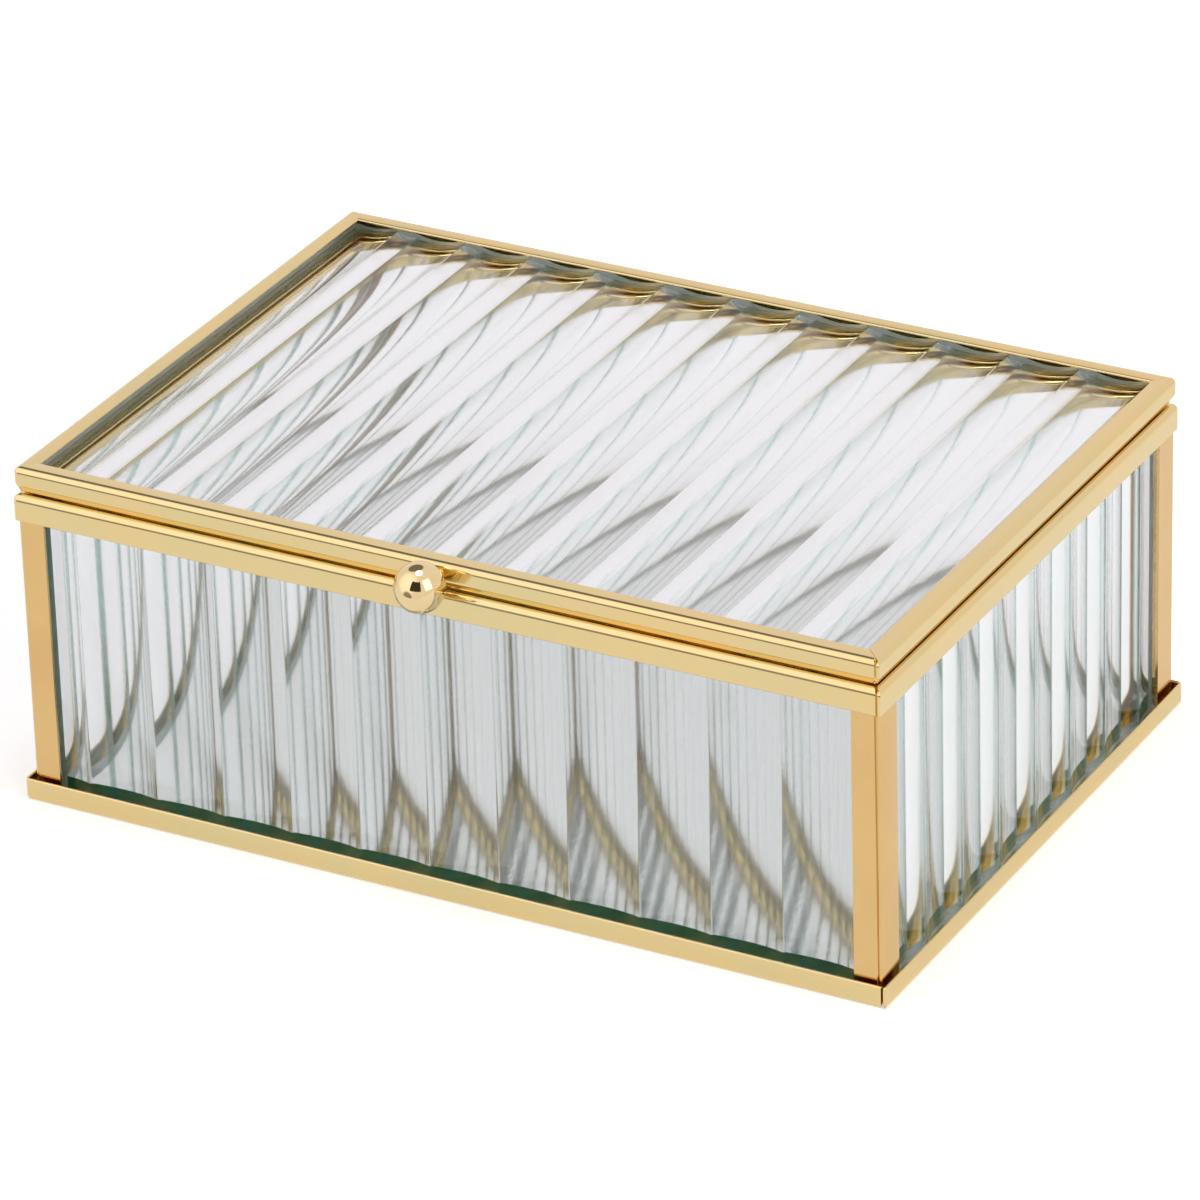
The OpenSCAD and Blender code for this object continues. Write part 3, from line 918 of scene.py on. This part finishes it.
floor_corners = [(-FLOOR_SIZE, FLOOR_FRONT, 0), (FLOOR_SIZE, FLOOR_FRONT, 0),
                 (FLOOR_SIZE, FLOOR_SIZE, 0), (-FLOOR_SIZE, FLOOR_SIZE, 0)]
flat_panel("floor", floor_corners, [(0, 1, 2, 3)], floor_material)
print("floor glow", FLOOR_GLOW, "near the box,", FAR_GLOW, "far off")

# %% [markdown]
# The dark room is a felt curtain, hung in a wide bend round the camera. The camera itself
# looks through it, but the brass and the ball don't.

# %% Dark room behind the camera
CURTAIN_AWAY = 1.9
CURTAIN_LEFT = math.radians(-42)
CURTAIN_RIGHT = math.radians(6)
CURTAIN_LOW = 0.3
CURTAIN_HIGH = 2.2
CURTAIN_FOLDS = 9
curtain_material = new_material("dark_felt_curtain", {"Base Color": colour("#5A5348"), "Roughness": 1.0})[0]
turns = [VIEW_AZIMUTH + CURTAIN_LEFT + (CURTAIN_RIGHT - CURTAIN_LEFT) * i / CURTAIN_FOLDS
         for i in range(CURTAIN_FOLDS + 1)]
folds = [(CURTAIN_AWAY * math.sin(turn), -CURTAIN_AWAY * math.cos(turn), z)
         for turn in turns for z in (CURTAIN_LOW, CURTAIN_HIGH)]
widths = [(i, i + 2, i + 3, i + 1) for i in range(0, len(folds) - 2, 2)]
curtain = flat_panel("curtain", folds, widths, curtain_material)
curtain.visible_camera = False
print("curtain", CURTAIN_AWAY, "m away")

# %% [markdown]
# The world is the white cloth round the set. Three zones of it are darker or brighter than the
# rest: a gap between the backdrop and the light overhead, the edge of the dark room low at the
# front left, and the window above that. Each zone is a direction, the cosines of the angles at
# which it begins and is full, and its share of the cloth's light. The camera sees plain white.

# %% World
BACKDROP = 0.98
CLOTH = "#FFF8FA"
AMBIENT = 0.45
OVERHEAD_GAP = ((-0.4, 0.4, 0.82), 0.905, 0.94, 0.22)
DARK_ROOM = ((-0.38, -0.88, -0.28), 0.93, 0.97, 0.3)
WINDOW = ((-0.5, -0.7, 0.5), 0.6, 0.9, 1.45)
world = bpy.data.worlds.new("studio")
scene.world = world
world.use_nodes = True
tree = world.node_tree
room = tree.nodes["Background"]
facing = add_node(tree, "ShaderNodeTexCoord")
strength = add_node(tree, "ShaderNodeMix", {"data_type": "FLOAT", 2: AMBIENT, 3: BACKDROP},
                    {0: background_rays(tree)}).outputs[0]
for direction, begins, full, share in (OVERHEAD_GAP, DARK_ROOM, WINDOW):
    toward = add_node(tree, "ShaderNodeVectorMath", {"operation": "DOT_PRODUCT", 1: direction},
                      {0: facing.outputs["Generated"]})
    zone = add_node(tree, "ShaderNodeMapRange",
                    {"interpolation_type": "SMOOTHSTEP", "From Min": begins, "From Max": full,
                     "To Min": 1.0, "To Max": share}, {"Value": toward.outputs["Value"]})
    strength = add_node(tree, "ShaderNodeMath", {"operation": "MULTIPLY"},
                        {0: strength, 1: zone.outputs[0]}).outputs[0]
camera_ray = add_node(tree, "ShaderNodeLightPath").outputs["Is Camera Ray"]
strength = add_node(tree, "ShaderNodeMath", {"operation": "MAXIMUM"},
                    {0: strength, 1: camera_ray}).outputs[0]
cloth = add_node(tree, "ShaderNodeMix", {"data_type": "RGBA", 6: colour(CLOTH), 7: colour("#FFFFFF")},
                 {0: camera_ray})
tree.links.new(strength, room.inputs["Strength"])
tree.links.new(cloth.outputs[2], room.inputs["Color"])
print("world", BACKDROP, "for mirrors and glass,", AMBIENT, "for the rest, and white for the camera")

# %% [markdown]
# Two soft lamps stand at a plain level: a round one overhead, which the ball shows as a spot,
# and a tall one to the right. A ray may cross ten faces of glass and two of mirror before it
# leaves the box, so the bounces are set high.

# %% Lamps
LAMP_WATTS = 4
AIM = Vector((0, 0, 0.03))


def softbox(name, place, width, length, shape="RECTANGLE"):
    """A soft light that faces the box."""
    lamp = bpy.data.lights.new(name, "AREA")
    lamp.shape = shape
    lamp.energy = LAMP_WATTS
    lamp.size = width
    lamp.size_y = length
    holder = bpy.data.objects.new(name, lamp)
    holder.location = place
    holder.rotation_euler = (AIM - Vector(place)).to_track_quat("-Z", "Y").to_euler()
    scene.collection.objects.link(holder)


softbox("softbox_overhead", place=(0, -0.02, 1.3), width=0.55, length=0.55, shape="ELLIPSE")
softbox("softbox_right", place=(1.1, -0.4, 0.75), width=0.8, length=1.1)
scene.view_settings.view_transform = "Standard"
scene.cycles.max_bounces = 24
scene.cycles.transmission_bounces = 24
scene.cycles.glossy_bounces = 16
print("studio lit by two lamps of", LAMP_WATTS, "watts")

# %% [markdown]
# ## Finish
# The size below is that of the visual model, which never grows past the frame.

# %% Measure and finish
low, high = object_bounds()
print("visual model", [round(size / MM, 2) for size in high - low], "mm")
